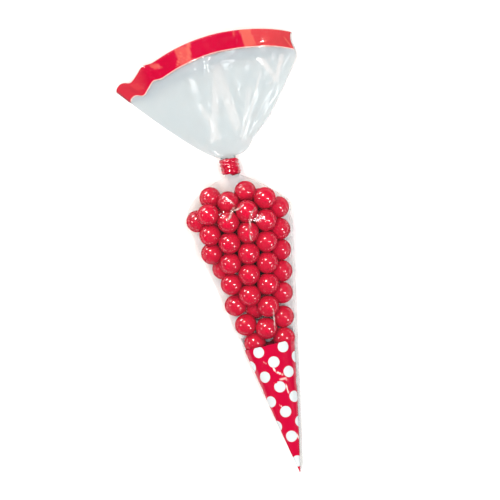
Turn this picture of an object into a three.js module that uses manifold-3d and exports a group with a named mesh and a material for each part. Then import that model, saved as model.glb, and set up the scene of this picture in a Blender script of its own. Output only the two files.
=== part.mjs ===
// A clear film cone bag filled with round sweets and closed at the neck by a wound twist tie.
// Millimetres, +Z up. The filled bag lies on the plane z = 0, its tip towards -Y, its mouth towards +Y.
// The origin is on the flat of the pouch's underside, under the middle of the load.
import * as THREE from 'three';
import { mergeVertices } from 'three/addons/utils/BufferGeometryUtils.js';
import Module from 'manifold-3d';

// Film bag
const filmWall = 0.4;          // film, thickened to a solid
const coneWidth = 84;          // filled cone, side to side, at its widest
const coneHeight = 50;         // filled cone, floor to top, at its widest
const coneLength = 213;        // tip to that widest place, for the taper
const coneSink = 1.6;          // how far the load presses the widest section flat on the floor
const seamWidth = 2.5;         // welded margin along the right side
const seamThickness = 0.9;
const seamTip = 1.9;           // the margin at the tip against the margin at the mouth
const seamShrink = 1.1;
const innerSeam = 0.2;
const pleatCount = 12;
const pleatDepth = 0.9;        // folds of the gathered neck, ridge to middle

// Filling
const sweetDiameter = 17.4;
const sweetGap = 0.2;          // between two sweets, and between a sweet and the film

// Neck
const shoulderDrop = 25;       // top sweet's centre down to the widest section
const shoulderRise = 13.5;     // top sweet's centre up to the neck
const neckRadius = 5.5;        // gathered film, to the middle of its folds
const neckHeight = 13;         // centre of the neck above the floor
const neckOffset = 2.2;        // centre of the neck to the right of the cone's axis
const channelRadius = 0.6;     // air left in the middle of the gathered film

// Twist tie
const tieTurns = 4;
const tieStrip = 3.7;          // width of the flat tie
const tiePitch = 3.9;
const tieThickness = 1.8;
const tieGap = 0.3;
const pigtailRadius = 1.35;    // the two ends, twisted together under the neck
const pigtailTwists = 1.5;

// Gathered mouth above the tie
const fanLength = 100.5;       // neck to the rim along the middle
const fanReachLeft = 76.8;
const fanReachRight = 74.6;
const fanSeam = 1;             // welded margin beside the mouth
const rimRadius = 150;         // curve of the rim, seen from above
const rimCentreOffset = 14.8;  // highest point of the rim to the right of the neck
const leaveAngleLeft = 66;     // degrees off the axis at which the film leaves the neck
const leaveAngleRight = 88;
const leaveReachLeft = 20;     // how far a side fold runs out before it bends forward
const leaveReachRight = 22.5;
const leaveReachMiddle = 30;   // and the film in the middle
const cornerPull = 9;          // the right side fold turns back in along the printed band
const cornerStart = 0.8;       // from this share of its length
const foldWave = 2.2;          // the right side fold waves near the neck
const mouthGap = 16;           // front film to back film in the middle of the rim
const edgeLiftLeft = 3.2;      // the fan's side folds above the floor
const edgeLiftRight = 6.5;
const foldEdge = 1.2;          // the two films together at a side fold
const rimWaveReach = 51;       // wave of the rim near its left end
const rimWaveWidth = 5.5;
const rimWaveRise = 3;

const restShare = 0.86;        // the middle of the load, as a share of the cone
const steps = 48;              // points round the film, a multiple of four for each pleat

const coneSide = coneWidth / 2 / coneLength;
const coneRise = (coneHeight + coneSink) / 2 / coneLength;
const coneMiddle = coneRise - coneSink / coneLength;

const clamp = (value, low, high) => Math.min(high, Math.max(low, value));
const mix = (a, b, t) => a + (b - a) * t;
const ease = (t) => {
  const c = clamp(t, 0, 1);
  return c * c * (3 - 2 * c);
};

// Sweets: runs of touching sweets, from [along, across] to [along, across] in sweet diameters
// from the tip and the axis. Level 1 lies under the front film, -1 on the back film.
const runs = [
  { from: [13.13, 1.38], to: [7.10, 0.15], count: 7, level: 1, bow: 0, seen: true },
  { from: [13.65, 0.55], to: [7.70, -0.60], count: 7, level: 1, bow: 0, seen: true },
  { from: [13.28, -0.40], to: [8.45, -1.18], count: 6, level: 1, bow: 0, seen: true },
  { from: [12.50, 1.86], to: [6.72, 0.81], count: 7, level: 0, bow: 0, seen: true },
  { from: [13.68, -1.08], to: [10.25, -1.49], count: 5, level: 0.5, bow: -0.3, seen: true },
  { from: [9.41, -1.48], to: [7.83, -1.09], count: 2, level: -1, bow: 0, seen: true },
  { from: [6.94, -0.74], to: [6.94, -0.74], count: 1, level: 0, bow: 0, seen: true },
  { from: [12.75, -2.04], to: [12.75, -2.04], count: 1, level: -0.3, bow: 0, seen: true },
  { from: [4.73, -0.10], to: [5.60, 0.41], count: 2, level: 0, bow: 0, seen: false },
  { from: [9.00, 0.35], to: [11.07, 0.80], count: 3, level: -1, bow: 0, seen: false },
  { from: [8.26, -0.34], to: [11.40, -0.83], count: 4, level: -1, bow: 0, seen: false },
  { from: [12.33, 0.13], to: [12.33, 0.13], count: 1, level: -1, bow: 0, seen: false },
  { from: [12.16, -1.45], to: [12.16, -1.45], count: 1, level: -0.6, bow: 0, seen: false },
  { from: [12.93, -0.69], to: [12.93, -0.69], count: 1, level: -1, bow: 0, seen: false },
  { from: [10.61, -0.29], to: [12.66, 0.46], count: 3, level: -0.1, bow: 0, seen: false },
  { from: [12.25, -0.57], to: [12.25, -0.57], count: 1, level: 0, bow: 0, seen: false },
];
const closingPlane = 15.9;     // the tied neck slopes down over the top sweets: along plus up, in diameters
const settleRounds = 1500;
const holdPlace = 0.1;         // how firmly a seen sweet is drawn back to its run at first
const hiddenWeight = 0.25;     // a hidden sweet gives way to a seen one
const settleStep = 0.02;       // and sinks on to what lies under it

function placedSweets() {
  const placed = [];
  const reach = sweetDiameter / 2 + filmWall + sweetGap;
  for (const run of runs) {
    for (let i = 0; i < run.count; i += 1) {
      const t = run.count > 1 ? i / (run.count - 1) : 0;
      const y = mix(run.from[0], run.to[0], t) * sweetDiameter;
      const bow = run.bow * 4 * t * (1 - t);
      const x = (mix(run.from[1], run.to[1], t) + bow) * sweetDiameter;
      const room = Math.sqrt(Math.max(0, 1 - (x / (coneSide * y)) ** 2)) * coneRise * y - reach;
      const z = coneMiddle * y + run.level * Math.max(0, room);
      placed.push({ x, y, z, homeX: x, homeY: y, seen: run.seen, give: run.seen ? 1 : 1 / hiddenWeight });
    }
  }
  return placed;
}

// The cone of film is convex, so a sweet is inside it when it is inside every plane that touches it.
function keepInCone(sweet, reach) {
  const planes = 32;
  for (let k = 0; k < planes; k += 1) {
    const turn = 2 * Math.PI * k / planes;
    const across = Math.cos(turn);
    const up = Math.sin(turn);
    const spread = Math.hypot(coneSide * across, coneRise * up) + coneMiddle * up;
    const length = Math.hypot(1, spread);
    const room = (spread * sweet.y - across * sweet.x - up * sweet.z) / length - reach;
    if (room < 0) {
      sweet.x += room * across / length;
      sweet.y -= room * spread / length;
      sweet.z += room * up / length;
    }
  }
  sweet.z = Math.max(sweet.z, reach);
}

function pushApart(a, b, distance) {
  const dx = b.x - a.x;
  const dy = b.y - a.y;
  const dz = b.z - a.z;
  const between = Math.hypot(dx, dy, dz);
  if (between >= distance) return;
  const share = (distance - between) / between / (a.give + b.give);
  a.x -= dx * share * a.give;
  a.y -= dy * share * a.give;
  a.z -= dz * share * a.give;
  b.x += dx * share * b.give;
  b.y += dy * share * b.give;
  b.z += dz * share * b.give;
}

function settledSweets() {
  const sweets = placedSweets();
  const reach = sweetDiameter / 2 + filmWall + sweetGap;
  for (let round = 0; round < settleRounds; round += 1) {
    for (let a = 0; a < sweets.length; a += 1) {
      for (let b = a + 1; b < sweets.length; b += 1) pushApart(sweets[a], sweets[b], sweetDiameter + sweetGap);
    }
    const pull = holdPlace * Math.max(0, 1 - round / (settleRounds * 0.6));
    for (const sweet of sweets) {
      keepInCone(sweet, reach);
      const above = (sweet.y + sweet.z) / Math.SQRT2 + reach - closingPlane * sweetDiameter / Math.SQRT2;
      sweet.z -= Math.max(0, above) * pull / holdPlace;
      if (sweet.seen) {
        sweet.x = mix(sweet.x, sweet.homeX, pull);
        sweet.y = mix(sweet.y, sweet.homeY, pull);
      } else {
        sweet.z -= settleStep;
      }
    }
  }
  return sweets;
}

const sweets = settledSweets();
const fillTop = Math.max(...sweets.map((sweet) => sweet.y));
const widest = fillTop - shoulderDrop;
const neckStart = fillTop + shoulderRise;
const tieLength = tieTurns * tiePitch;
const neckLength = tieLength + 2 * tieGap;
const neckEnd = neckStart + neckLength;
const restPlace = restShare * widest;

// One ring of film: four half-sizes from its centre, a share of the pleats and of the weld.
function ring(y, centre, size, pleat, seam) {
  const points = [];
  const weld = Math.min(seamThickness / 2, size.up * 0.3);
  for (let i = 0; i < steps; i += 1) {
    const turn = 2 * Math.PI * i / steps;
    const fold = 1 + pleat * Math.cos(pleatCount * turn);
    const across = Math.cos(turn) > 0 ? size.right : size.left;
    const up = Math.sin(turn) > 0 ? size.up : size.down;
    const x = centre.x + across * Math.cos(turn) * fold;
    const z = centre.z + up * Math.sin(turn) * fold;
    if (i === 0) {
      points.push([x, y, centre.z - weld], [x + seam, y, centre.z - weld * 0.6]);
      points.push([x + seam, y, centre.z + weld * 0.6], [x, y, centre.z + weld]);
    } else {
      points.push([x, y, z]);
    }
  }
  return points;
}

// The filled cone, pressed flat on the floor by its load
function coneRing(y, inset) {
  const rise = coneRise * y - inset;
  const size = { right: coneSide * y - inset, left: coneSide * y - inset, up: rise, down: rise };
  const seam = inset > 0 ? innerSeam : clamp(seamWidth * (seamTip - seamShrink * y / widest), 0.6, seamWidth);
  const points = ring(y, { x: 0, z: coneMiddle * y }, size, 0, Math.min(seam, 0.3 * y));
  return points.map(([px, py, pz]) => [px, py, Math.max(pz, inset)]);
}

// The shoulder closes from the widest section to the neck, fuller on the left
const shoulderRight = 1.8;
const shoulderLeft = 4.6;
const shoulderTop = 2.6;
const shoulderBottom = 4;
const packStart = 0.8;
function shoulderRing(q, inset) {
  const y = mix(widest, neckStart, q);
  const close = (power) => 1 - q ** power;
  const side = coneSide * widest;
  const top = (coneMiddle + coneRise) * widest;
  const bottom = neckHeight - neckRadius;
  const high = mix(neckHeight + neckRadius, top, close(shoulderTop));
  const low = mix(bottom, (coneMiddle - coneRise) * widest, close(shoulderBottom));
  const centre = { x: neckOffset * q * q * q, z: mix(coneMiddle * widest, neckHeight, q ** 2.2) };
  const right = mix(neckRadius, side, close(shoulderRight));
  const left = mix(neckRadius, side, close(shoulderLeft));
  const size = { right, left: left + centre.x, up: high - centre.z, down: centre.z - low };
  const pleat = pleatDepth / neckRadius * ease((q - 0.45) / 0.5) * (0.35 + 0.65 * q ** 6);
  if (inset === 0) {
    const points = ring(y, centre, size, pleat, mix(0.8, 0.1, q));
    return points.map(([px, py, pz]) => [px, py, Math.max(pz, 0)]);
  }
  const pack = ease((q - packStart) / (1 - packStart));
  const inner = {};
  for (const key of Object.keys(size)) {
    inner[key] = mix(size[key] * (1 - pleat) - inset, channelRadius, pack);
  }
  const points = ring(y, centre, inner, 0, 0.1);
  return points.map(([px, py, pz]) => [px, py, Math.max(pz, inset)]);
}

function neckRing(y, inset) {
  const radius = inset > 0 ? channelRadius : neckRadius;
  const size = { right: radius, left: radius, up: radius, down: radius };
  const pleat = inset > 0 ? 0 : pleatDepth / neckRadius;
  return ring(y, { x: neckOffset, z: neckHeight }, size, pleat, 0.1);
}

// The fan: each line of film leaves the neck sideways, then bends forward to its place on the rim
function rimPoint(across) {
  const x = across > 0 ? across * fanReachRight : across * fanReachLeft;
  const wave = rimWaveRise * Math.exp(-(((x + rimWaveReach) / rimWaveWidth) ** 2));
  const drop = rimRadius - Math.sqrt(rimRadius ** 2 - (x - rimCentreOffset) ** 2);
  return { x: neckOffset + x, y: neckEnd + fanLength - drop + wave, wave };
}

function fanPoint(t, turn, seam, inset) {
  const cosine = Math.cos(turn);
  const linear = 1 - 2 * Math.min(turn, 2 * Math.PI - turn) / Math.PI;
  const side = turn < Math.PI ? 1 : -1;
  const spread = mix(cosine, linear, 0.6) * (1 - inset * 0.03);
  const pleat = pleatDepth * Math.cos(pleatCount * turn);
  const pack = inset > 0 ? ease(t / 0.2) : 1;
  const start = inset > 0 ? channelRadius : neckRadius + pleat;
  const leave = (cosine > 0 ? leaveAngleRight : leaveAngleLeft) * Math.PI / 180 * cosine;
  const fromX = neckOffset + start * cosine;
  const leaveReach = cosine > 0 ? mix(leaveReachLeft, leaveReachRight, cosine) : leaveReachLeft;
  const bendX = fromX + leaveReach * Math.sin(leave);
  const bendY = neckEnd + mix(leaveReachMiddle, leaveReach, Math.abs(cosine)) * Math.cos(leave);
  const rightFold = Math.max(0, cosine) ** 2;
  const corner = cornerPull * rightFold;
  const wave = foldWave * rightFold * Math.sin(2 * Math.PI * Math.min(1, 2 * t));
  const rim = rimPoint(spread);
  const along = (from, bend, to) => (1 - t) ** 2 * from + 2 * t * (1 - t) * bend + t * t * to;
  const drawnIn = corner * ease((t - cornerStart) / (1 - cornerStart));
  const x = along(fromX, bendX, rim.x + corner) - drawnIn + wave + seam * t;
  const y = along(neckEnd, bendY, rim.y);
  const open = ease(t / 0.35);
  const edge = mix(edgeLiftLeft, edgeLiftRight, (spread + 1) / 2);
  const floor = foldEdge / 2;
  const bulge = 1 - spread * spread;
  const middle = mix(edge, floor + mouthGap / 2, bulge);
  const half = foldEdge / 2 + (mouthGap / 2 - foldEdge / 2 + 1.5 * Math.sin(Math.PI * t)) * bulge;
  const fold = pleat * (1 - ease((t - 0.05) / 0.7)) * Math.min(1, bulge * 3);
  const lift = rim.wave * ease((t - 0.7) / 0.3) * 0.8;
  const fanZ = middle + lift + side * (half + fold - inset);
  const neckZ = neckHeight + start * Math.sin(turn);
  return [x, y, Math.max(mix(neckZ, mix(neckHeight, fanZ, pack), open), inset)];
}

function fanRing(t, inset) {
  const points = [];
  const seam = inset > 0 ? innerSeam : fanSeam;
  for (let i = 0; i < steps; i += 1) {
    const turn = 2 * Math.PI * i / steps;
    if (i === 0) {
      const weld = inset > 0 ? 0.1 : seamThickness / 2;
      const [x, y, z] = fanPoint(t, 0, 0, inset);
      const middle = t > 0 ? z - (foldEdge / 2 - inset) * ease(t / 0.35) : z;
      const out = 0.1 + seam * t * (inset > 0 ? 0 : 1);
      points.push([x, y, middle - weld], [x + out, y, middle - weld * 0.6]);
      points.push([x + out, y, middle + weld * 0.6], [x, y, middle + weld]);
    } else {
      points.push(fanPoint(t, turn, 0, inset));
    }
  }
  return points;
}

// A closed shell from two stacks of rings, joined at the mouth
function shell(outerRings, innerRings) {
  const position = [];
  const index = [];
  const add = (rings) => rings.map((points) => points.map((point) => {
    position.push(...point);
    return position.length / 3 - 1;
  }));
  const band = (a, b, flip) => {
    const count = a.length;
    for (let i = 0; i < count; i += 1) {
      const j = (i + 1) % count;
      if (flip) index.push(a[i], b[j], a[j], a[i], b[i], b[j]);
      else index.push(a[i], a[j], b[j], a[i], b[j], b[i]);
    }
  };
  const cap = (points, flip) => {
    const start = position.length / 3;
    const middle = [0, 1, 2].map((axis) => {
      const sum = points.reduce((total, id) => total + position[id * 3 + axis], 0);
      return sum / points.length;
    });
    position.push(...middle);
    for (let i = 0; i < points.length; i += 1) {
      const j = (i + 1) % points.length;
      if (flip) index.push(start, points[i], points[j]);
      else index.push(start, points[j], points[i]);
    }
  };
  const outer = add(outerRings);
  const inner = add(innerRings);
  cap(outer[0], true);
  for (let k = 1; k < outer.length; k += 1) band(outer[k - 1], outer[k], true);
  cap(inner[0], false);
  for (let k = 1; k < inner.length; k += 1) band(inner[k - 1], inner[k], false);
  band(outer[outer.length - 1], inner[inner.length - 1], true);
  const geometry = new THREE.BufferGeometry();
  geometry.setAttribute('position', new THREE.Float32BufferAttribute(position, 3));
  geometry.setIndex(index);
  return geometry;
}

// Where a sweet stands out of a ring of film, the ring is drawn out round it
const facetMargin = 1.9;
function drawnOver(points, y, inset) {
  const clear = sweetDiameter / 2 + sweetGap + filmWall - inset + facetMargin;
  const middleX = points.reduce((sum, point) => sum + point[0], 0) / points.length;
  const middleZ = points.reduce((sum, point) => sum + point[2], 0) / points.length;
  return points.map(([x, , z]) => {
    const length = Math.hypot(x - middleX, z - middleZ);
    const dx = (x - middleX) / length;
    const dz = (z - middleZ) / length;
    let reach = length;
    for (const sweet of sweets) {
      const slice = clear * clear - (y - sweet.y) ** 2;
      const ahead = (sweet.x - middleX) * dx + (sweet.z - middleZ) * dz;
      const aside = (sweet.x - middleX) * dz - (sweet.z - middleZ) * dx;
      if (slice > aside * aside && ahead > 0) reach = Math.max(reach, ahead + Math.sqrt(slice - aside * aside));
    }
    return [middleX + dx * reach, y, Math.max(middleZ + dz * reach, inset)];
  });
}

function coneBag() {
  const coneStops = [1.5 / widest, 0.26, 0.52, 0.76, 1];
  const shoulderStops = [0.2, 0.4, 0.56, 0.68, 0.78, 0.87, 0.935, 0.98];
  const fanStops = [0, 0.05, 0.11, 0.19, 0.29, 0.42, 0.56, 0.7, 0.82, 0.92, 1];
  const outer = coneStops.map((q) => coneRing(q * widest, 0));
  const inner = [0.04, 0.52, 1].map((q) => coneRing(q * widest, filmWall));
  for (const q of shoulderStops) {
    const y = mix(widest, neckStart, q);
    outer.push(drawnOver(shoulderRing(q, 0), y, 0));
    inner.push(drawnOver(shoulderRing(q, filmWall), y, filmWall));
  }
  for (const y of [neckStart, (neckStart + neckEnd) / 2]) {
    outer.push(neckRing(y, 0));
    inner.push(neckRing(y, filmWall));
  }
  for (const t of fanStops) {
    outer.push(fanRing(t, 0));
    inner.push(fanRing(t, filmWall));
  }
  return shell(outer, inner);
}

// Twist tie: a flat strip wound round the neck, its ends twisted together under it
function solidOf(wasm, geometry) {
  const bare = geometry.clone();
  bare.deleteAttribute('normal');
  bare.deleteAttribute('uv');
  const merged = mergeVertices(bare, 1e-5);
  const vertProperties = new Float32Array(merged.attributes.position.array);
  const triVerts = new Uint32Array(merged.index.array);
  return new wasm.Manifold(new wasm.Mesh({ numProp: 3, vertProperties, triVerts }));
}

function geometryOf(solid) {
  const mesh = solid.getMesh();
  const geometry = new THREE.BufferGeometry();
  geometry.setAttribute('position', new THREE.BufferAttribute(new Float32Array(mesh.vertProperties), 3));
  geometry.setIndex(new THREE.BufferAttribute(new Uint32Array(mesh.triVerts), 1));
  return geometry;
}

// A rod of closed sections, capped at both ends
function rod(sections) {
  const position = [];
  const index = [];
  for (const section of sections) for (const point of section) position.push(...point);
  const count = sections[0].length;
  for (let k = 1; k < sections.length; k += 1) {
    for (let i = 0; i < count; i += 1) {
      const j = (i + 1) % count;
      const a = (k - 1) * count;
      const b = k * count;
      index.push(a + i, a + j, b + j, a + i, b + j, b + i);
    }
  }
  const last = (sections.length - 1) * count;
  for (let i = 1; i < count - 1; i += 1) {
    index.push(0, i + 1, i);
    index.push(last, last + i, last + i + 1);
  }
  const geometry = new THREE.BufferGeometry();
  geometry.setAttribute('position', new THREE.Float32BufferAttribute(position, 3));
  geometry.setIndex(index);
  return geometry;
}

const tieRadius = neckRadius + pleatDepth + tieGap + tieThickness / 2;

function tieCoil() {
  const stepsPerTurn = 13;
  const start = neckStart + tieGap + tieStrip / 2;
  const travel = tieLength - tieStrip;
  const sections = [];
  for (let i = 0; i <= tieTurns * stepsPerTurn; i += 1) {
    const share = i / (tieTurns * stepsPerTurn);
    const turn = -Math.PI / 2 + 2 * Math.PI * tieTurns * share;
    const y = start + travel * share;
    const section = [];
    const half = tieThickness / 2;
    const bead = tieStrip / 2 - 0.35;
    const outline = [[half, 0.25 * bead], [half * 0.55, bead], [-half * 0.55, bead], [-half, 0.25 * bead],
      [-half, -0.25 * bead], [-half * 0.55, -bead], [half * 0.55, -bead], [half, -0.25 * bead]];
    for (const [out, along] of outline) {
      const radius = tieRadius + out;
      section.push([neckOffset + radius * Math.cos(turn), y + along, neckHeight + radius * Math.sin(turn)]);
    }
    sections.push(section);
  }
  return rod(sections);
}

function tiePigtail() {
  const lobes = 8;
  const rise = neckHeight - tieRadius - tieThickness / 2 - pigtailRadius * 0.8;
  const from = neckStart + tieGap + 1;
  const to = neckEnd - tieGap - 1;
  const count = 10;
  const sections = [];
  for (let k = 0; k <= count; k += 1) {
    const share = k / count;
    const twist = Math.PI * pigtailTwists * share;
    const section = [];
    for (let i = 0; i < lobes; i += 1) {
      const turn = 2 * Math.PI * i / lobes;
      const radius = pigtailRadius * (0.78 + 0.22 * Math.cos(2 * turn));
      const x = radius * Math.cos(turn + twist);
      const z = radius * Math.sin(turn + twist);
      section.push([neckOffset + x, mix(from, to, share), rise + z]);
    }
    sections.push(section.reverse());
  }
  return rod(sections);
}

async function twistTie() {
  const wasm = await Module();
  wasm.setup();
  return geometryOf(solidOf(wasm, tieCoil()).add(solidOf(wasm, tiePigtail())));
}

const film = new THREE.MeshStandardMaterial({ color: 0xe4eaea, roughness: 0.12, metalness: 0 });
const red = new THREE.MeshStandardMaterial({ color: 0xca1d35, roughness: 0.3, metalness: 0 });
const candy = new THREE.MeshStandardMaterial({ color: 0xd2163c, roughness: 0.08, metalness: 0 });

const group = new THREE.Group();

function addPiece(name, geometry, material) {
  const mesh = new THREE.Mesh(geometry, material);
  mesh.name = name;
  mesh.position.y = -restPlace;
  group.add(mesh);
  return mesh;
}

addPiece('cone_bag', coneBag(), film);
addPiece('twist_tie', await twistTie(), red);

sweets.forEach((sweet, order) => {
  const radius = sweetDiameter / 2;
  const ball = sweet.seen ? new THREE.SphereGeometry(radius, 10, 7) : new THREE.IcosahedronGeometry(radius, 1);
  const mesh = addPiece(`sweet_${String(order + 1).padStart(2, '0')}`, ball, candy);
  mesh.position.set(sweet.x, sweet.y - restPlace, sweet.z);
});

export default group;
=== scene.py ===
"""Looks of a clear film cone bag on a pale floor: film, print, round sweets and a wound twist tie."""

import math

import bpy
import numpy as np
from mathutils import Matrix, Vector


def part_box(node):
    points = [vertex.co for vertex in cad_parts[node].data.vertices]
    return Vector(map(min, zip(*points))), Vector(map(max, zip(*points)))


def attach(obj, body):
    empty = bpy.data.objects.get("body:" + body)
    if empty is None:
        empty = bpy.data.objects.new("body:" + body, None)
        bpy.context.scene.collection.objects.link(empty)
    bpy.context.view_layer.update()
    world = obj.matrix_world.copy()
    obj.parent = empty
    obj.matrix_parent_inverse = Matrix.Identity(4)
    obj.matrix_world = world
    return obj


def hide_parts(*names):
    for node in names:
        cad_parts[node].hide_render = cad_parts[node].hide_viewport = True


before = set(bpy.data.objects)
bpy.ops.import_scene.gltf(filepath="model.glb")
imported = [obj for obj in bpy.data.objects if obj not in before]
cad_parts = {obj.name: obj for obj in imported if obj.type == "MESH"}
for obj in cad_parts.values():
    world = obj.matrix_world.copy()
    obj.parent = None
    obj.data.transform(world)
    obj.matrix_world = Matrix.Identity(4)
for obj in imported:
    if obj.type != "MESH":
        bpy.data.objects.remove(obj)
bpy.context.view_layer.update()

# Lengths below are in millimetres, and the scene is in metres
MM = 0.001
SEED = 7
LOWEST = 0.02


# Places taken from the frame, in millimetres
def box_mm(node):
    low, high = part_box(node)
    return np.array(low) / MM, np.array(high) / MM


bag_low, bag_high = box_mm("cone_bag")
tie_low, tie_high = box_mm("twist_tie")
sweet_names = sorted(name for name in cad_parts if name.startswith("sweet_"))
sweet_boxes = [box_mm(name) for name in sweet_names]
sweet_centres = np.array([(low + high) / 2 for low, high in sweet_boxes])
sweet_radius = max((high - low).max() for low, high in sweet_boxes) / 2

tip_y = bag_low[1]
rim_y = bag_high[1]
tie_radius = (tie_high[0] - tie_low[0]) / 2
tie_gap = 0.3
tie_margin = 0.35
neck_x = (tie_low[0] + tie_high[0]) / 2
neck_z = tie_high[2] - tie_radius
neck_start = tie_low[1] - tie_gap - tie_margin
neck_end = tie_high[1] + tie_gap + tie_margin

# The filled cone of film
CONE_SIDE = 84 / 2 / 213
CONE_RISE = 51.6 / 2 / 213
CONE_SINK = 1.6 / 213
WIDEST = neck_start - 38.5
FLAT_TIP_LENGTH = 95
POUCH_STATIONS = 176
SHOULDER_STATIONS = 46

# The taut film over the sweets, and the gathered neck
FILM_CLEARANCE = 0.15
TAUT_ROUNDS = 90
EMPTY_TIP = 80
NECK_RADIUS = 5.6
NECK_STATIONS = 12
PLEATS = 12
FINE_PLEATS = 29
PLEAT_HEIGHT = 0.75
SHOULDER_PLEAT_HEIGHT = 0.9

# The fanned mouth
FAN_LEFT = 76.8
FAN_RIGHT = 74.6
FAN_SEAM = 1
RIM_RADIUS = 150
RIM_CENTRE = 14.8
LEAVE_LEFT = math.radians(66)
LEAVE_RIGHT = math.radians(88)
LEAVE_REACH_LEFT = 20
LEAVE_REACH_RIGHT = 22.5
LEAVE_REACH_MIDDLE = 30
CORNER_PULL = 14
CORNER_START = 0.86
FOLD_WAVE = 2.2
MOUTH_GAP = 16
EDGE_LIFT_LEFT = 3.2
EDGE_LIFT_RIGHT = 6.5
FOLD_EDGE = 1.2
WAVE_REACH = 51
WAVE_WIDTH = 5.5
WAVE_RISE = 3
NOTCH_REACH = 64
NOTCH_WIDTH = 4
NOTCH_DEPTH = 1.2
LEFT_END_RISE = 6.2
CORNER_ROUND = 2.4
OPEN_SHARE = 0.35
FAN_LINE_STEPS = 260
CLEAR_RINGS = 74
BAND_RINGS = 13

# Folds of handled film in the fan: distance between them and height
LARGE_FOLD = (26, 2.2)
SMALL_FOLD = (8, 0.45)
FOLD_FAN_REACH = 75

# Turned facets of the fan: place, half width, slant, tilt, how far they run down and up, strength of
# the painted highlight on them
FACETS = [
    (40.8, 174.8, 4.4, -0.1, 0.26, 8, 12, 0.85),
    (30.5, 181.5, 1.0, 0.1, 0.15, 3, 4, 0.5),
    (60.5, 178.5, 1.0, 0.2, 0.12, 1, 4, 0.7),
    (-13.7, 172.7, 5.6, -0.1, 0.22, 8, 10, 0.6),
    (-18.5, 171, 0.8, 0.5, 0.2, 6, 9, 0.95),
    (-9.0, 176.5, 1.6, 0.15, 0.2, 9, 9, 0.9),
    (-13.5, 171.5, 0.6, -0.9, 0.15, 5, 5, 0.95),
    (-37.9, 170.2, 3.4, -0.75, 0.2, 3, 4, 0.65),
    (-57, 158, 3.5, -0.9, 0.15, 5, 5, 0.25),
    (72, 165.5, 0.5, -0.45, 0.2, 7, 6, 0.95),
    (77.3, 162.6, 1.3, -0.12, 0.15, 8, 8, 0.75),
    (50, 150, 2.2, -0.42, 0.2, 16, 9, 0.6),
    (62, 150, 1.8, 0.5, 0.2, 14, 8, 0.6),
    (12, 140, 4, -0.1, 0.2, 38, 22, 0.35),
    (2, 128, 3, 0.3, 0.22, 30, 30, 0.4),
    (-4, 112, 2.2, -0.3, 0.22, 14, 20, 0.35),
    (24, 112, 2, 0.35, 0.18, 22, 26, 0.3),
    (36, 130, 0.9, 0.5, 0.18, 22, 18, 0.5),
]

# Ends of the band with a painted sheen: from where, and how strong the painted sheen is
BAND_END_RIGHT = (38, 0.33)
BAND_END_LEFT = (-45, 0.17)

# Creases of the pouch, each with a painted highlight along its ridge: start, end, height, width
CREASES = [
    ((-10.5, 32.4), (-4, 39.7), 0.9, 1.8),
    ((-4, 39.7), (3.1, 41.3), 0.8, 1.5),
    ((-7.3, 54), (-1.3, 44.1), 0.7, 1.4),
    ((-1.3, 44.1), (-8.5, 36), 0.6, 1.2),
    ((14.3, 38.6), (8.8, 33.2), 0.6, 1.3),
    ((8.8, 33.2), (6.1, 22.1), 0.9, 1.6),
    ((6.1, 22.1), (4.4, 11.4), 0.8, 1.4),
    ((9.7, -44.6), (7, -62.5), 0.8, 1.4),
    ((-2, -91.5), (-0.2, -96.1), 0.6, 1.4),
    ((-0.2, -96.1), (4.9, -99.4), 0.7, 1.5),
    ((1.6, -102.9), (8.3, -103.5), 0.6, 1.4),
    ((5.5, -107.6), (5.8, -115.3), 0.6, 1.4),
    ((-8, -86), (-6.4, -87), 0.4, 1.2),
    ((-3.5, -123.5), (-1.5, -125.5), 0.4, 1.1),
    ((5, -150), (5.4, -155), 0.5, 1.1),
]

# Welded margin along the right side
SEAM_WIDTH = 2.5
SEAM_AT_NECK = 0.15
SEAM_INSET = 0.15
SEAM_HALF_THICKNESS = 0.14

# Print, and how much higher it starts on the back film
TIP_PRINT = 109.5
BACK_PRINT = 9
BAND_WIDTH = 14.6
BAND_LINE = 0.7
DOT_SPACING = 21.1
DOT_RADIUS = 4.65
FIRST_DOT = 10.6
DOT_EDGE = 0.12

# Millimetres of flat film to one unit of its UV map
FLAT_UNIT = 100

# The bag's materials, by their place in its list
POUCH_FILM, PRINTED_TIP, PRINTED_BAND, BAND_LINE_FILM, FAN_FILM, SEAM_FILM = range(6)
FAN_FILM_ROWS_IN_NECK = 5
BACK_SIDE = -0.35

# Sweets, shown a little larger than their solids
SWEET_GROWTH = 0.3
SWEET_SQUASH = 0.015
SWEET_ROWS = 20
SWEET_COLUMNS = 40

# The tie
TIE_TURNS = 4
TIE_STEPS_PER_TURN = 60
TIE_STRIP = 3.8
TIE_THICKNESS = 1.8
TIE_WING = 0.28
TIE_BEAD = 0.62
TIE_SECTION_POINTS = 18
TAIL_RADIUS = 1.35
TAIL_TURNS = 1.2
TAIL_STEPS = 40
TAIL_SIDES = 20
TAIL_OFFSET = 0.55
TAIL_HALF_WIDTH = 0.85
TAIL_HALF_THICKNESS = 0.5

# Floor, light and camera
FLOOR_SIZE = 4000
FLOOR_LEVEL = -0.05
OVERHEAD_LEAN = 0.27
LAMP_DISTANCE = 1.5
GLINT_DISTANCE = 1.3
ROLL = math.radians(-13.4)
PHOTO_SCALE = 0.82
FRAME_PIXELS = 500
CAMERA_HEIGHT = 3000
FOCUS_HEIGHT = 15
SENSOR = 36
AIM_X = 2.3
AIM_Y = 6.1

# Directions round a section of the film
COLUMNS = 240
turn = np.arange(COLUMNS) * 2 * np.pi / COLUMNS
cosine = np.cos(turn)
sine = np.sin(turn)
random = np.random.default_rng(SEED)


def mix(a, b, t):
    return a + (b - a) * t


def ease(t):
    c = np.clip(t, 0, 1)
    return c * c * (3 - 2 * c)


def sawtooth(value):
    """A wave of straight slopes between -1 and 1, as creased film has."""
    return 2 * np.abs(2 * (value - np.floor(value + 0.5))) - 1


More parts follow.
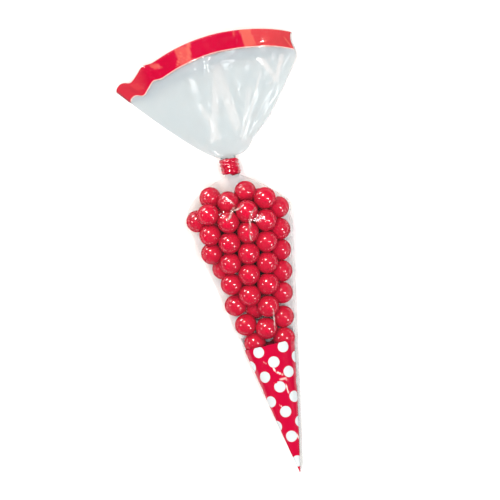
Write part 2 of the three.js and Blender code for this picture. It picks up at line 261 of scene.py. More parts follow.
def crinkle(across, along, scale, layers=5):
    """Flat facets with sharp folds between them, for stiff film that has been handled."""
    height = np.zeros(np.broadcast(across, along).shape)
    warp = np.sin(along / scale * 0.7 + 1.3 * np.sin(across / scale * 0.5))
    for layer in range(layers):
        angle = random.uniform(0, np.pi)
        length = scale * random.uniform(0.7, 1.9)
        phase = random.uniform(0, 1)
        slide = (across * np.cos(angle) + along * np.sin(angle)) / length
        bend = 0.35 * np.sin(slide * 1.7 + layer) + 0.25 * warp
        height += sawtooth(slide + bend + phase) / (1 + 0.5 * layer)
    return height / layers * 1.6


# Film rings
def cone_ring(s):
    """Section of the cone, s from the tip: flatter near the tip, where nothing fills it."""
    flat = 1 - ease(s / FLAT_TIP_LENGTH)
    side = CONE_SIDE * s * (1 + 0.03 * flat)
    rise = CONE_RISE * s * (1 - 0.28 * flat)
    middle = rise - CONE_SINK * s
    x = side * cosine
    z = np.maximum(middle + rise * sine, LOWEST)
    return 0.0, middle, x, z


def shoulder_ring(q):
    """Section of the shoulder, q from the widest place to the neck: soft above, fuller on the left."""
    top = (2 * CONE_RISE - CONE_SINK) * (WIDEST - tip_y)
    side = CONE_SIDE * (WIDEST - tip_y)
    middle = (CONE_RISE - CONE_SINK) * (WIDEST - tip_y)
    high = mix(neck_z + NECK_RADIUS, top, 1 - q**2.6)
    low = mix(neck_z - NECK_RADIUS, -CONE_SINK * (WIDEST - tip_y), 1 - q**4)
    centre_x = neck_x * q**3
    centre_z = mix(middle, neck_z, q**2.2)
    right = mix(NECK_RADIUS, side, 1 - q**1.8)
    left = mix(NECK_RADIUS, side, 1 - q**4.6) + centre_x
    x = centre_x + np.where(cosine > 0, right, left) * cosine
    z = centre_z + np.where(sine > 0, high - centre_z, centre_z - low) * sine
    return centre_x, centre_z, x, np.maximum(z, LOWEST)


def pleat_wave(turns):
    """Uneven folds of gathered film, between -1 and 1."""
    main = np.cos(PLEATS * turns + 0.55 * np.sin(3 * turns + 0.4) + 0.3 * np.sin(5 * turns))
    fine = np.cos(FINE_PLEATS * turns + 1.1 * np.sin(2 * turns))
    return 0.78 * main + 0.22 * fine


def pouch_rings():
    """Centres, directions and reach of the film from the tip to the neck."""
    stations = list(np.linspace(1.2, WIDEST - tip_y, POUCH_STATIONS)[:-1])
    edge = int(np.argmin([abs(s - TIP_PRINT) for s in stations]))
    stations[edge] = TIP_PRINT
    rows = []
    for s in stations:
        rows.append((tip_y + s, *cone_ring(s)))
    for q in np.linspace(0, 1, SHOULDER_STATIONS):
        rows.append((mix(WIDEST, neck_start, q), *shoulder_ring(q)))
    y = np.array([row[0] for row in rows])
    centre = np.array([[row[1], row[2]] for row in rows])
    x = np.array([row[3] for row in rows])
    z = np.array([row[4] for row in rows])
    return y, centre, x, z, edge


def sweet_reach(y, centre, dx, dz, clearance):
    """How far the sweets stand out along each ray from the ring's centre."""
    reach = np.zeros(dx.shape)
    radius = sweet_radius + clearance
    for sx, sy, sz in sweet_centres:
        slice2 = radius**2 - (y - sy) ** 2
        near = slice2 > 0
        if not near.any():
            continue
        px = sx - centre[near, 0][:, None]
        pz = sz - centre[near, 1][:, None]
        ahead = px * dx[near] + pz * dz[near]
        aside = px * dz[near] - pz * dx[near]
        inside = slice2[near][:, None] - aside**2
        hit = np.where((inside > 0) & (ahead > 0), ahead + np.sqrt(np.maximum(inside, 0)), 0)
        reach[near] = np.maximum(reach[near], hit)
    return reach


def stretched(centre, reach, dx, dz, held):
    """Pulls the film taut over what it covers: each point moves to the middle of its neighbours."""
    limit = reach.copy()
    for _ in range(TAUT_ROUNDS):
        x = centre[:, 0][:, None] + reach * dx
        z = centre[:, 1][:, None] + reach * dz
        mean_x = (np.roll(x, 1, 1) + np.roll(x, -1, 1)) / 2
        mean_z = (np.roll(z, 1, 1) + np.roll(z, -1, 1)) / 2
        mean_x[1:-1] = mean_x[1:-1] / 2 + (x[:-2] + x[2:]) / 4
        mean_z[1:-1] = mean_z[1:-1] / 2 + (z[:-2] + z[2:]) / 4
        pulled = (mean_x - centre[:, 0][:, None]) * dx + (mean_z - centre[:, 1][:, None]) * dz
        pulled = np.clip(pulled, held, limit)
        reach[2:-1] = pulled[2:-1]
    return reach


def crease(x, y, start, end, height, width):
    """A sharp little ridge of film over the line between two places."""
    along = end - start
    length = np.linalg.norm(along)
    share = np.clip(((x - start[0]) * along[0] + (y - start[1]) * along[1]) / length**2, 0, 1)
    away = np.hypot(x - start[0] - share * along[0], y - start[1] - share * along[1])
    uneven = 0.75 + 0.25 * np.sin(share * length * 1.3 + start[0])
    taper = 0.45 + 0.55 * np.sin(np.pi * np.clip(share, 0.05, 0.95))
    return height * np.maximum(0, 1 - away / (width * uneven)) * taper


def pouch():
    """The filled part of the film, from the tip to the neck, with its creases and the painted highlight
    along them.
    """
    y, centre, x, z, edge = pouch_rings()
    dx = x - centre[:, 0][:, None]
    dz = z - centre[:, 1][:, None]
    base = np.hypot(dx, dz)
    dx, dz = dx / base, dz / base
    held = sweet_reach(y, centre, dx, dz, FILM_CLEARANCE)
    reach = np.maximum(base, held)
    s = (y - tip_y)[:, None]
    empty = ease((EMPTY_TIP - s) / 12)
    held = np.maximum(held, reach * empty)
    close = ease((y - (neck_start - 9)) / 8)[:, None]
    held = np.maximum(held, reach * close)
    reach = stretched(centre, reach, dx, dz, held)
    loose = ease((reach - held) / 1.2)
    shoulder = ease((y - (WIDEST - 6)) / 20)[:, None]
    neck = ease((y - (neck_start - 16)) / 16)[:, None]
    round_here = np.arange(COLUMNS)[None, :] * (2 * np.pi / COLUMNS) * reach.mean(1)[:, None]
    folds = crinkle(round_here, y[:, None] * 0.45, 9)
    body = 0.3 * loose * ease((s - 60) / 60) + 0.05
    reach = reach + folds * body * (1 - neck)
    on_shoulder = SHOULDER_PLEAT_HEIGHT * shoulder * (1 - neck) * loose
    reach = reach + pleat_wave(turn)[None, :] * (on_shoulder + PLEAT_HEIGHT * neck)
    px = centre[:, 0][:, None] + reach * dx
    py = np.repeat(y[:, None], COLUMNS, 1)
    front = ease(dz / 0.3)
    pz = centre[:, 1][:, None] + reach * dz
    # painted highlight: whiter film along the top of each crease, standing in for light glinting on the
    # fold
    pale = np.zeros(px.shape)
    for start, end, height, width in CREASES:
        ridge = crease(px, py, np.array(start), np.array(end), height, width)
        pz = pz + front * ridge
        pale = np.maximum(pale, front * np.clip(2.2 * ridge / height - 0.7, 0, 1))
    pz = np.maximum(pz, LOWEST)
    points = np.stack([px, py, pz], 2)
    return points, edge, pale


def flat_places(points):
    """Distance from the middle line of the front or back film, measured along the film."""
    steps = np.linalg.norm(np.roll(points, -1, 1) - points, axis=2)
    girth = steps.sum(1)[:, None]
    along = np.concatenate([np.zeros((len(points), 1)), np.cumsum(steps, 1)[:, :-1]], 1)
    share = along / girth
    front = share < 0.5
    across = np.where(front, 0.25 - share, share - 0.75) * girth
    return across, points[:, :, 1] - tip_y


def neck():
    """The gathered film inside the tie."""
    radius = NECK_RADIUS + PLEAT_HEIGHT * pleat_wave(turn)
    x = neck_x + radius * cosine
    z = neck_z + radius * sine
    stations = np.linspace(neck_start, neck_end, NECK_STATIONS)[1:-1]
    return np.array([np.stack([x, np.full(COLUMNS, y), z], 1) for y in stations])


def rim_place(spread):
    """Where the film ends, spread from -1 at the left corner to 1 at the right."""
    x = np.where(spread > 0, spread * FAN_RIGHT, spread * FAN_LEFT)
    wave = WAVE_RISE * np.exp(-(((x + WAVE_REACH) / WAVE_WIDTH) ** 2))
    drop = RIM_RADIUS - np.sqrt(RIM_RADIUS**2 - (x - RIM_CENTRE) ** 2)
    notch = NOTCH_DEPTH * np.exp(-(((x + NOTCH_REACH) / NOTCH_WIDTH) ** 2))
    past = np.clip((-x - FAN_LEFT + CORNER_ROUND) / CORNER_ROUND, 0, 1)
    rounding = CORNER_ROUND * (1 - np.sqrt(1 - past**2))
    end_rise = LEFT_END_RISE * ease((-x - NOTCH_REACH + 3) / (FAN_LEFT - NOTCH_REACH))
    return neck_x + x, rim_y - drop + wave - notch - rounding + end_rise, wave


def fan_points(t):
    """Lines of film from the neck to the rim, t in rows; each leaves sideways and bends forward."""
    linear = 1 - 2 * np.minimum(turn, 2 * np.pi - turn) / np.pi
    side = np.where(turn < np.pi, 1.0, -1.0)
    side[turn == 0] = 0
    side[np.isclose(turn, np.pi)] = 0
    spread = mix(cosine, linear, 0.6)
    start = NECK_RADIUS + PLEAT_HEIGHT * pleat_wave(turn)
    leave = np.where(cosine > 0, LEAVE_RIGHT, LEAVE_LEFT) * cosine
    from_x = neck_x + start * cosine
    leave_reach = mix(LEAVE_REACH_LEFT, LEAVE_REACH_RIGHT, np.maximum(0, cosine))
    bend_x = from_x + leave_reach * np.sin(leave)
    bend_y = neck_end + mix(LEAVE_REACH_MIDDLE, leave_reach, np.abs(cosine)) * np.cos(leave)
    end_x, end_y, wave = rim_place(spread)
    t = np.asarray(t)
    right_fold = np.maximum(0, cosine) ** 2
    corner = CORNER_PULL * right_fold
    x = (1 - t) ** 2 * from_x + 2 * t * (1 - t) * bend_x + t * t * (end_x + corner)
    x = x - corner * ease((t - CORNER_START) / (1 - CORNER_START))
    x = x + FOLD_WAVE * right_fold * np.sin(2 * np.pi * np.minimum(1, 2 * t))
    y = (1 - t) ** 2 * neck_end + 2 * t * (1 - t) * bend_y + t * t * end_y
    opened = ease(t / OPEN_SHARE)
    lift = mix(EDGE_LIFT_LEFT, EDGE_LIFT_RIGHT, (spread + 1) / 2)
    bulge = 1 - spread * spread
    middle = mix(lift, FOLD_EDGE / 2 + MOUTH_GAP / 2, bulge)
    half = FOLD_EDGE / 2 + (MOUTH_GAP / 2 - FOLD_EDGE / 2 + 1.5 * np.sin(np.pi * t)) * bulge
    pleat = PLEAT_HEIGHT * pleat_wave(turn) * (1 - ease((t - 0.05) / 0.75)) * np.minimum(1, bulge * 3)
    ripple = np.sin(x / 11 + 0.8 * side + 2 * t) * 0.7 + np.sin(x / 5.3 + 2 + 1.7 * side) * 0.35
    ripple = ripple * ease((t - 0.25) / 0.5) * np.minimum(1, bulge * 2)
    fan_z = middle + wave * ease((t - 0.7) / 0.3) * 0.8 + side * (half + pleat) + ripple
    neck_ring_z = neck_z + start * sine
    z = np.maximum(mix(neck_ring_z, fan_z, opened), LOWEST)
    return np.stack([x, y, z], 2)


def fan():
    """The fan's rings at even distances, with rings along both edges of the printed band."""
    fine = fan_points(np.linspace(0, 1, FAN_LINE_STEPS)[:, None])
    steps = np.linalg.norm(np.diff(fine, axis=0), axis=2)
    length = np.concatenate([np.zeros((1, COLUMNS)), np.cumsum(steps, 0)], 0)
    total = length[-1]
    rows = []
    for k in range(CLEAR_RINGS + 1):
        share = (k / CLEAR_RINGS) ** 1.15
        rows.append((total - BAND_WIDTH - BAND_LINE) * share)
    for k in range(BAND_RINGS + 1):
        rows.append(total - BAND_WIDTH * (1 - k / BAND_RINGS))
    rings = []
    for row in rows:
        ring = np.empty((COLUMNS, 3))
        for column in range(COLUMNS):
            for axis in range(3):
                ring[column, axis] = np.interp(row[column], length[:, column], fine[:, column, axis])
        rings.append(ring)
    rings = np.array(rings)
    inward = np.where(sine >= 0, 1.0, -1.0)
    edge = np.minimum(1, np.abs(sine) * 4)
    far = ease((rings[:, :, 1] - neck_end - 4) / 40)
    reach_x = rings[:, :, 0] - neck_x
    reach_y = rings[:, :, 1] - neck_end + 15
    round_neck = np.arctan2(reach_x, reach_y) * FOLD_FAN_REACH
    from_neck = np.hypot(reach_x, reach_y)
    large = crinkle(round_neck + inward * 31, from_neck * 0.35, LARGE_FOLD[0], 3) * LARGE_FOLD[1]
    small = crinkle(round_neck + inward * 57, from_neck * 0.6, SMALL_FOLD[0]) * SMALL_FOLD[1]
    rings[:, :, 2] += (large + small) * far * edge
    # painted highlight: each turned facet on the upper layer gets a pale patch, standing in for light
    # glinting off it
    pale = np.zeros(rings.shape[:2])
    for place_x, place_y, half_width, slant, tilt, run_down, run_up, tint in FACETS:
        down = place_y - rings[:, :, 1]
        aside = rings[:, :, 0] - place_x + slant * down
        step = -tilt * np.clip(aside, -half_width, half_width) * np.exp(-((aside / 18) ** 2))
        fade = ease((run_down - down) / 3) * ease((down + run_up) / 3)
        rings[:, :, 2] += step * fade * far * edge * (inward > 0)
        patch = ease((half_width - np.abs(aside)) / 0.8 + 0.5) * fade * tint
        pale = np.maximum(pale, patch * (sine > 0))
    rings[:, :, 2] = np.maximum(rings[:, :, 2], LOWEST)
    # painted sheen: the band is paler towards both of its ends
    place = rings[CLEAR_RINGS:, :, 0]
    right_end = BAND_END_RIGHT[1] * ease((place - BAND_END_RIGHT[0]) / 6)
    left_end = BAND_END_LEFT[1] * ease((BAND_END_LEFT[0] - place) / 12)
    pale[CLEAR_RINGS:] = np.maximum(pale[CLEAR_RINGS:], right_end + left_end)
    return rings, pale


# Materials
def new_material(name):
    material = bpy.data.materials.new(name)
    material.use_nodes = True
    nodes = material.node_tree.nodes
    return material, nodes, material.node_tree.links, nodes["Principled BSDF"]


def add_bump(nodes, links, shader, texture_output, strength, distance):
    bump = nodes.new("ShaderNodeBump")
    bump.inputs["Strength"].default_value = strength
    bump.inputs["Distance"].default_value = distance
    links.new(texture_output, bump.inputs["Height"])
    links.new(bump.outputs["Normal"], shader.inputs["Normal"])


def noise_value(nodes, links, scale, detail):
    noise = nodes.new("ShaderNodeTexNoise")
    noise.inputs["Scale"].default_value = scale
    noise.inputs["Detail"].default_value = detail
    place = nodes.new("ShaderNodeTexCoord")
    links.new(place.outputs["Object"], noise.inputs["Vector"])
    return noise.outputs["Fac"]


def pale_mask(nodes):
    mask = nodes.new("ShaderNodeAttribute")
    mask.attribute_name = "pale"
    return mask.outputs["Fac"]


def mixed_colour(nodes, links, factor, first, second):
    """Mixes two colours, each a value or a socket."""
    mixer = nodes.new("ShaderNodeMix")
    mixer.data_type = "RGBA"
    links.new(factor, mixer.inputs["Factor"])
    for name, colour in (("A", first), ("B", second)):
        if isinstance(colour, tuple):
            mixer.inputs[name].default_value = colour
        else:
            links.new(colour, mixer.inputs[name])
    return mixer.outputs["Result"]


def mapped(nodes, links, value, low, high):
    span = nodes.new("ShaderNodeMapRange")
    span.inputs["To Min"].default_value = low
    span.inputs["To Max"].default_value = high
    links.new(value, span.inputs["Value"])
    return span.outputs["Result"]


def clear_film(name, facing_alpha, edge_alpha, pale_alpha, tone, roughness, ior):
    """Clear film: see-through where it faces the eye, greyer edge on, whitish where a highlight is
    painted along creases and facets.
    """
    material, nodes, links, shader = new_material(name)
    pale = pale_mask(nodes)
    # painted highlight: where the mask is high, the film turns whitish pink and less see-through
    links.new(mixed_colour(nodes, links, pale, tone, (1, 0.86, 0.82, 1)), shader.inputs["Base Color"])
    shader.inputs["Roughness"].default_value = roughness
    shader.inputs["IOR"].default_value = ior
    facing = nodes.new("ShaderNodeLayerWeight")
    facing.inputs["Blend"].default_value = 0.35
    curve = nodes.new("ShaderNodeMath")
    curve.operation = "POWER"
    curve.inputs[1].default_value = 3
    links.new(facing.outputs["Facing"], curve.inputs[0])
    alpha = mapped(nodes, links, curve.outputs[0], facing_alpha, edge_alpha)
    whitened = nodes.new("ShaderNodeMix")
    whitened.inputs["B"].default_value = pale_alpha
    links.new(pale, whitened.inputs["Factor"])
    links.new(alpha, whitened.inputs["A"])
    links.new(whitened.outputs["Result"], shader.inputs["Alpha"])
    add_bump(nodes, links, shader, noise_value(nodes, links, 160, 3), 0.12, 0.0012)
    return material


def printed_film(name, dotted):
    """Red print on film, with white dots or plain, and paler where a highlight or sheen is painted on
    creases and facets.
    """
    material, nodes, links, shader = new_material(name)
    shader.inputs["Roughness"].default_value = 0.12
    shader.inputs["IOR"].default_value = 1.45
    red = (0.47, 0.0015, 0.033, 1) if dotted else (0.45, 0.002, 0.034, 1)
    dark_red = (0.42, 0.0015, 0.028, 1)
    white = (0.56, 0.61, 0.63, 1)
    colour = mixed_colour(nodes, links, noise_value(nodes, links, 40, 4), red, dark_red)
    if dotted:
        colour = mixed_colour(nodes, links, dot_mask(nodes, links), colour, white)
    # painted highlight and sheen: pale streaks on the tip's creases, salmon patches on the band's
    # facets and ends
    highlight_colour = (0.95, 0.75, 0.68, 1) if dotted else (0.6, 0.12, 0.09, 1)
    links.new(mixed_colour(nodes, links, pale_mask(nodes), colour, highlight_colour), shader.inputs["Base Color"])
    shader.inputs["Alpha"].default_value = 0.97 if dotted else 0.9
    add_bump(nodes, links, shader, noise_value(nodes, links, 220, 2), 0.15, 0.001)
    return material


def dot_mask(nodes, links):
    """White dots on a square lattice turned by 45 degrees, in millimetres of flat film."""
    place = nodes.new("ShaderNodeUVMap")
    place.uv_map = "flat"
    shift = nodes.new("ShaderNodeVectorMath")
    shift.operation = "SUBTRACT"
    shift.inputs[1].default_value = (0, FIRST_DOT / FLAT_UNIT, 0)
    links.new(place.outputs["UV"], shift.inputs[0])
    rotate = nodes.new("ShaderNodeVectorRotate")
    rotate.rotation_type = "Z_AXIS"
    rotate.inputs["Angle"].default_value = math.radians(45)
    links.new(shift.outputs["Vector"], rotate.inputs["Vector"])
    side = DOT_SPACING / math.sqrt(2)
    scale = nodes.new("ShaderNodeVectorMath")
    scale.operation = "SCALE"
    scale.inputs["Scale"].default_value = FLAT_UNIT / side
    links.new(rotate.outputs["Vector"], scale.inputs[0])
    half = nodes.new("ShaderNodeVectorMath")
    half.operation = "ADD"
    half.inputs[1].default_value = (0.5, 0.5, 0)
    links.new(scale.outputs["Vector"], half.inputs[0])
    cell = nodes.new("ShaderNodeVectorMath")
    cell.operation = "FRACTION"
    links.new(half.outputs["Vector"], cell.inputs[0])
    back = nodes.new("ShaderNodeVectorMath")
    back.operation = "SUBTRACT"
    back.inputs[1].default_value = (0.5, 0.5, 0)
    links.new(cell.outputs["Vector"], back.inputs[0])
    length = nodes.new("ShaderNodeVectorMath")
    length.operation = "LENGTH"
    links.new(back.outputs["Vector"], length.inputs[0])
    edge = nodes.new("ShaderNodeMapRange")
    edge.inputs["From Min"].default_value = (DOT_RADIUS + DOT_EDGE) / side
    edge.inputs["From Max"].default_value = (DOT_RADIUS - DOT_EDGE) / side
    links.new(length.outputs["Value"], edge.inputs["Value"])
    return edge.outputs["Result"]


def band_line_film():
    material, nodes, links, shader = new_material("band_line")
    shader.inputs["Base Color"].default_value = (0.9, 0.62, 0.56, 1)
    shader.inputs["Roughness"].default_value = 0.2
    shader.inputs["Alpha"].default_value = 0.55
    add_bump(nodes, links, shader, noise_value(nodes, links, 160, 3), 0.12, 0.0012)
    return material


def seam_strip(edge_points):
    """The welded margin along the right side: a thin closed strip from the tip to the rim."""
    tangent = np.gradient(edge_points, axis=0)
    out = np.stack([tangent[:, 1], -tangent[:, 0], np.zeros(len(tangent))], 1)
    out /= np.linalg.norm(out, axis=1)[:, None]
    y = edge_points[:, 1]
    narrowing = np.clip(1.9 - 1.1 * (y - tip_y) / (WIDEST - tip_y), 0, 1)
    width = np.where(y < WIDEST, SEAM_WIDTH * narrowing, SEAM_WIDTH)
    closing = ease((y - WIDEST) / (neck_start - 6 - WIDEST))
    opening = ease((y - neck_end - 1) / 25)
    width = np.where(y >= WIDEST, mix(width * 0.8, SEAM_AT_NECK, closing), width)
    width = np.where(y > neck_end, mix(SEAM_AT_NECK, FAN_SEAM, opening), width)
    width = np.minimum(width, 0.3 * (y - tip_y) + 0.1)
    up = np.array([0, 0, SEAM_HALF_THICKNESS])
    inner = edge_points - out * SEAM_INSET
    outer = edge_points + out * width[:, None]
    ring = np.stack([inner - up, outer - up, outer + up, inner + up], 1)
    ring[:, :, 2] = np.maximum(ring[:, :, 2], 0.01)
    return ring


def mesh_object(name, vertices, faces, materials, face_materials=None, smooth=True):
    mesh = bpy.data.meshes.new(name)
    mesh.from_pydata([tuple(v) for v in np.asarray(vertices) * MM], [], faces)
    for material in materials:
        mesh.materials.append(material)
    if face_materials is not None:
        mesh.polygons.foreach_set("material_index", np.asarray(face_materials, dtype=np.int32))
    if smooth:
        mesh.polygons.foreach_set("use_smooth", np.ones(len(mesh.polygons), dtype=bool))
    mesh.update()
    piece = bpy.data.objects.new(name, mesh)
    bpy.context.scene.collection.objects.link(piece)
    return piece


def film_materials(rings, print_edge, fan_start):
    """Which material each face of the rings has, row by row from the tip."""
    line = fan_start + CLEAR_RINGS
    row_material = np.full(len(rings) - 1, POUCH_FILM)
    row_material[:print_edge] = PRINTED_TIP
    row_material[fan_start - FAN_FILM_ROWS_IN_NECK : line] = FAN_FILM
    row_material[line] = BAND_LINE_FILM
    row_material[line + 1 :] = PRINTED_BAND
    low = rings[:-1, :, 1] < tip_y + TIP_PRINT + BACK_PRINT
    back = low & (sine < BACK_SIDE)[None, :] & (row_material[:, None] == POUCH_FILM)
    return np.where(back, PRINTED_TIP, row_material[:, None]).reshape(-1)


def film_bag():
    """The whole bag in one piece: rings from the tip to the rim, closed at the tip, and its seam."""
    pouch_points, print_edge, pouch_pale = pouch()
    neck_points = neck()
    fan_rings, fan_pale = fan()
    rings = np.concatenate([pouch_points, neck_points, fan_rings], 0)
    fan_start = len(pouch_points) + len(neck_points)
    across, along = flat_places(rings)
    count = len(rings)
    index = np.arange(count * COLUMNS).reshape(count, COLUMNS)
    right = np.roll(index, -1, 1)
    quads = np.stack([index[:-1], index[1:], right[1:], right[:-1]], 2).reshape(-1, 4)
    vertices = rings.reshape(-1, 3)
    tip = len(vertices)
    tip_point = np.array([[0, tip_y, vertices[:COLUMNS, 2].mean()]])
    seam = seam_strip(rings[:, 0])
    seam_start = tip + 1
    vertices = np.concatenate([vertices, tip_point, seam.reshape(-1, 3)], 0)
    faces = [tuple(int(i) for i in quad) for quad in quads]
    face_materials = list(film_materials(rings, print_edge, fan_start))
    for column in range(COLUMNS):
        faces.append((tip, column, (column + 1) % COLUMNS))
        face_materials.append(PRINTED_TIP)
    for k in range(count - 1):
        a = seam_start + 4 * k
        b = a + 4
        for i in range(4):
            j = (i + 1) % 4
            faces.append((a + i, a + j, b + j, b + i))
            face_materials.append(SEAM_FILM)
    last = seam_start + 4 * (count - 1)
    faces.append((seam_start + 3, seam_start + 2, seam_start + 1, seam_start))
    faces.append((last, last + 1, last + 2, last + 3))
    face_materials += [SEAM_FILM, SEAM_FILM]
    kinds = [
        clear_film("pouch_film", 0.07, 0.14, 0.6, (0.01, 0.08, 0.08, 1), 0.07, 2.2),
        printed_film("printed_tip", True),
        printed_film("printed_band", False),
        band_line_film(),
        clear_film("fan_film", 0.195, 0.3, 0.2, (0.03, 0.17, 0.22, 1), 0.2, 1.7),
        clear_film("seam_film", 0.26, 0.4, 0.3, (0.42, 0.43, 0.43, 1), 0.15, 1.6),
    ]
    piece = mesh_object("film_bag", vertices, faces, kinds, face_materials)
    flat = np.zeros((len(vertices), 2))
    flat[: count * COLUMNS, 0] = across.reshape(-1) / FLAT_UNIT
    flat[: count * COLUMNS, 1] = along.reshape(-1) / FLAT_UNIT
    layer = piece.data.uv_layers.new(name="flat")
    # attribute carrying the painted highlight and sheen to the film's materials
    pale = np.zeros(len(vertices), dtype=np.float32)
    pale[: len(pouch_points) * COLUMNS] = pouch_pale.reshape(-1)
    pale[fan_start * COLUMNS : count * COLUMNS] = fan_pale.reshape(-1)
    piece.data.attributes.new("pale", "FLOAT", "POINT").data.foreach_set("value", pale)
    corners = np.empty(len(piece.data.loops), dtype=np.int32)
    piece.data.loops.foreach_get("vertex_index", corners)
    layer.data.foreach_set("uv", flat[corners].reshape(-1).astype(np.float32))
    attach(piece, "root")
    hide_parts("cone_bag")


def faded_gloss(nodes, links, facing, edge):
    """Gloss that fades towards the rim of a ball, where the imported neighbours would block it."""
    weight = nodes.new("ShaderNodeLayerWeight")
    weight.inputs["Blend"].default_value = 0.5
    fade = nodes.new("ShaderNodeMapRange")
    fade.inputs["From Min"].default_value = 0.25
    fade.inputs["From Max"].default_value = 0.55
    fade.inputs["To Min"].default_value = facing
    fade.inputs["To Max"].default_value = edge
    links.new(weight.outputs["Facing"], fade.inputs["Value"])
    return fade.outputs["Result"]


def sweet_shell():
    material, nodes, links, shader = new_material("sweet_shell")
    cloud = noise_value(nodes, links, 55, 3)
    red = mixed_colour(nodes, links, cloud, (0.53, 0.002, 0.03, 1), (0.45, 0.0015, 0.024, 1))
    links.new(red, shader.inputs["Base Color"])
    shader.inputs["Roughness"].default_value = 0.3
    shader.inputs["IOR"].default_value = 1.4
    links.new(faded_gloss(nodes, links, 0.3, 0.02), shader.inputs["Specular IOR Level"])
    links.new(faded_gloss(nodes, links, 1, 0.05), shader.inputs["Coat Weight"])
    shader.inputs["Coat Roughness"].default_value = 0.03
    add_bump(nodes, links, shader, noise_value(nodes, links, 130, 2), 0.1, 0.0008)
    return material


def round_sweets():
    """One ball for each sweet in the frame, each a little out of round."""
    shell = sweet_shell()
    columns = SWEET_COLUMNS
    polar = np.linspace(0, np.pi, SWEET_ROWS + 1)[1:-1]
    around = np.arange(columns) * 2 * np.pi / columns
    ball = [(0, 0, 1)]
    for p in polar:
        ball += [(math.sin(p) * math.cos(a), math.sin(p) * math.sin(a), math.cos(p)) for a in around]
    ball.append((0, 0, -1))
    ball = np.array(ball)
    faces = [(0, 1 + c, 1 + (c + 1) % columns) for c in range(columns)]
    for r in range(len(polar) - 1):
        a, b = 1 + r * columns, 1 + (r + 1) * columns
        faces += [(a + c, b + c, b + (c + 1) % columns, a + (c + 1) % columns) for c in range(columns)]
    last = 1 + (len(polar) - 1) * columns
    faces += [(len(ball) - 1, last + (c + 1) % columns, last + c) for c in range(columns)]
    for name, centre in zip(sweet_names, sweet_centres):
        direction = random.normal(size=3)
        direction /= np.linalg.norm(direction)
        squash = 1 - SWEET_SQUASH * (ball @ direction)[:, None] ** 2
        points = ball * squash * (sweet_radius + SWEET_GROWTH) + centre
        piece = mesh_object("ball_" + name, points, faces, [shell])
        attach(piece, "root")
        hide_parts(name)


def tie_plastic():
    material, nodes, links, shader = new_material("tie_plastic")
    crumple = noise_value(nodes, links, 300, 3)
    red = mixed_colour(nodes, links, crumple, (0.55, 0.004, 0.035, 1), (0.26, 0.002, 0.012, 1))
    links.new(red, shader.inputs["Base Color"])
    shader.inputs["Roughness"].default_value = 0.16
    shader.inputs["IOR"].default_value = 1.5
    shader.inputs["Coat Weight"].default_value = 0.5
    shader.inputs["Coat Roughness"].default_value = 0.12
    add_bump(nodes, links, shader, crumple, 0.6, 0.0008)
    return material


def tie_strip_section(width, thickness):
    """Half-round bead over the wire in the middle, thin wings to both sides."""
    section = []
    for k in range(TIE_SECTION_POINTS):
        a = 2 * math.pi * k / TIE_SECTION_POINTS
        along = math.cos(a) * width / 2
        bead = math.exp(-((along / TIE_BEAD) ** 2))
        out = math.sin(a) * (TIE_WING + (thickness / 2 - TIE_WING) * bead)
        section.append((out, along))
    return section


def wound_strip():
    """The turns round the neck, with a little unevenness from turn to turn."""
    start = neck_start + tie_gap + TIE_STRIP / 2 + 0.1
    travel = neck_end - neck_start - 2 * tie_gap - TIE_STRIP - 0.2
    radius = tie_radius - TIE_THICKNESS / 2
    section = tie_strip_section(TIE_STRIP, TIE_THICKNESS)
    vertices = []
    faces = []
    rings = TIE_TURNS * TIE_STEPS_PER_TURN + 1
    wobble = random.uniform(-1, 1, 8)
    for i in range(rings):
        share = i / (rings - 1)
        angle = -math.pi / 2 + 2 * math.pi * TIE_TURNS * share
        y = start + travel * share + 0.22 * math.sin(angle + wobble[0]) * (1 - abs(2 * share - 1))
        lean = 0.12 * math.sin(angle * 0.75 + wobble[1] * 3)
        lean += 0.08 * math.sin(angle * 2.3 + wobble[2] * 3)
        grow = 0.12 * math.sin(angle * 1.6 + wobble[3] * 3) - 0.12
        for out, along in section:
            r = radius + grow + out * math.cos(lean) - along * math.sin(lean)
            yy = y + along * math.cos(lean) + out * math.sin(lean)
            r = max(r, radius - TIE_THICKNESS / 2 + 0.02)
            vertices.append((neck_x + r * math.cos(angle), yy, neck_z + r * math.sin(angle)))
    count = len(section)
    for i in range(rings - 1):
        a, b = i * count, (i + 1) * count
        faces += [(a + k, a + (k + 1) % count, b + (k + 1) % count, b + k) for k in range(count)]
    faces.append(tuple(reversed(range(count))))
    faces.append(tuple(range((rings - 1) * count, rings * count)))
    return vertices, faces


def add_tail(vertices, faces, strand):
    """One of the two ends, which are twisted together under the neck."""
    middle_z = neck_z - tie_radius - TAIL_RADIUS * 0.8
    tail_from = neck_start + tie_gap + 1
    tail_to = neck_end - tie_gap - 1
    base = len(vertices)
    for k in range(TAIL_STEPS + 1):
        share = k / TAIL_STEPS
        twist = 2 * math.pi * TAIL_TURNS * share + strand * math.pi
        cx = neck_x + TAIL_OFFSET * math.cos(twist)
        cz = middle_z + TAIL_OFFSET * math.sin(twist)
        wide_way = twist + math.pi / 2
        for j in range(TAIL_SIDES):
            a = 2 * math.pi * j / TAIL_SIDES
            wide = TAIL_HALF_WIDTH * math.cos(a)
            thin = TAIL_HALF_THICKNESS * math.sin(a)
            x = cx + wide * math.cos(wide_way) - thin * math.sin(wide_way)
            z = cz + wide * math.sin(wide_way) + thin * math.cos(wide_way)
            vertices.append((x, mix(tail_from, tail_to, share), z))
    for k in range(TAIL_STEPS):
        a, b = base + k * TAIL_SIDES, base + (k + 1) * TAIL_SIDES
        for j in range(TAIL_SIDES):
            following = (j + 1) % TAIL_SIDES
            faces.append((a + j, b + j, b + following, a + following))
    faces.append(tuple(base + j for j in range(TAIL_SIDES)))
    faces.append(tuple(base + TAIL_STEPS * TAIL_SIDES + j for j in reversed(range(TAIL_SIDES))))


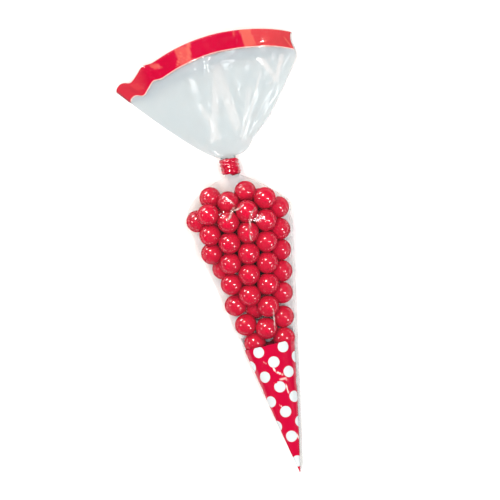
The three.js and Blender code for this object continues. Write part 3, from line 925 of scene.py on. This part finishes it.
def twist_tie():
    """The wound strip with both of its ends, in one piece."""
    vertices, faces = wound_strip()
    for strand in range(2):
        add_tail(vertices, faces, strand)
    piece = mesh_object("wound_tie", vertices, faces, [tie_plastic()])
    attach(piece, "root")
    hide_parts("twist_tie")


# Stage, light and camera
def floor():
    material, *_, shader = new_material("pale_floor")
    shader.inputs["Base Color"].default_value = (0.82, 0.82, 0.82, 1)
    shader.inputs["Roughness"].default_value = 0.9
    shader.inputs["Specular IOR Level"].default_value = 0.1
    signs = [(-1, -1), (1, -1), (1, 1), (-1, 1)]
    corners = [(x * FLOOR_SIZE, y * FLOOR_SIZE, FLOOR_LEVEL) for x, y in signs]
    plane = mesh_object("floor", corners, [(0, 1, 2, 3)], [material], smooth=False)


def softbox(name, direction, distance, width, height, radiance, tint=(1, 1, 1)):
    """An area light at a distance in metres, facing the bag, its power set from its brightness."""
    data = bpy.data.lights.new(name, "AREA")
    data.shape = "RECTANGLE"
    data.size = width
    data.size_y = height
    data.energy = radiance * math.pi * width * height
    data.color = tint
    lamp = bpy.data.objects.new(name, data)
    way = np.array(direction) / np.linalg.norm(direction)
    lamp.location = tuple(way * distance)
    forward = -way
    level = np.array([-way[1], way[0], 0.0])
    level /= np.linalg.norm(level)
    upright = np.cross(level, forward)
    rotation = np.stack([level, upright, -forward], 1)
    lamp.matrix_world = Matrix.Translation(lamp.location) @ Matrix(rotation.tolist()).to_4x4()
    bpy.context.scene.collection.objects.link(lamp)
    return lamp


def camera():
    data = bpy.data.cameras.new("camera")
    data.sensor_width = SENSOR
    data.lens = SENSOR * (CAMERA_HEIGHT - FOCUS_HEIGHT) / (FRAME_PIXELS * PHOTO_SCALE)
    eye = bpy.data.objects.new("camera", data)
    eye.location = (AIM_X * MM, AIM_Y * MM, CAMERA_HEIGHT * MM)
    eye.rotation_euler = (0, 0, ROLL)
    data.clip_end = 100
    bpy.context.scene.collection.objects.link(eye)
    bpy.context.scene.camera = eye


def lights():
    """Wide lamps above and around for the colours, and small ones for the glints on film and sweets."""
    for k in range(4):
        angle = math.pi * (2 * k + 1) / 4
        toward = (OVERHEAD_LEAN * math.cos(angle), OVERHEAD_LEAN * math.sin(angle), 1)
        overhead = softbox("overhead_" + str(k + 1), toward, LAMP_DISTANCE, 0.3, 0.3, 26)
        overhead.visible_glossy = False
        around = (math.cos(angle), math.sin(angle), 0.7)
        fill = softbox("fill_" + str(k + 1), around, LAMP_DISTANCE, 0.5, 0.5, 5)
        fill.visible_glossy = False
    softbox("key_glow", (-0.2, 0.6, 0.77), LAMP_DISTANCE, 0.6, 0.45, 7, (1, 0.6, 0.32))
    glints = [
        softbox("low_strip", (-0.448, 0.856, 0.25), GLINT_DISTANCE, 0.6, 0.2, 26),
        softbox("key", (-0.158, 0.565, 0.809), GLINT_DISTANCE, 0.15, 0.19, 160),
        softbox("side_left", (-0.834, 0.127, 0.535), GLINT_DISTANCE, 0.16, 0.16, 40),
        softbox("strip_right", (0.487, -0.195, 0.851), GLINT_DISTANCE, 0.1, 0.36, 70),
        softbox("low_right", (0.601, -0.681, 0.42), GLINT_DISTANCE, 0.2, 0.2, 34),
    ]
    for lamp in glints:
        lamp.visible_diffuse = False
    world = bpy.data.worlds.new("studio")
    world.use_nodes = True
    world.node_tree.nodes["Background"].inputs["Color"].default_value = (0.92, 0.97, 1, 1)
    world.node_tree.nodes["Background"].inputs["Strength"].default_value = 0.08
    bpy.context.scene.world = world
    bpy.context.scene.view_settings.view_transform = "Standard"


camera()
floor()
lights()
round_sweets()
twist_tie()
film_bag()
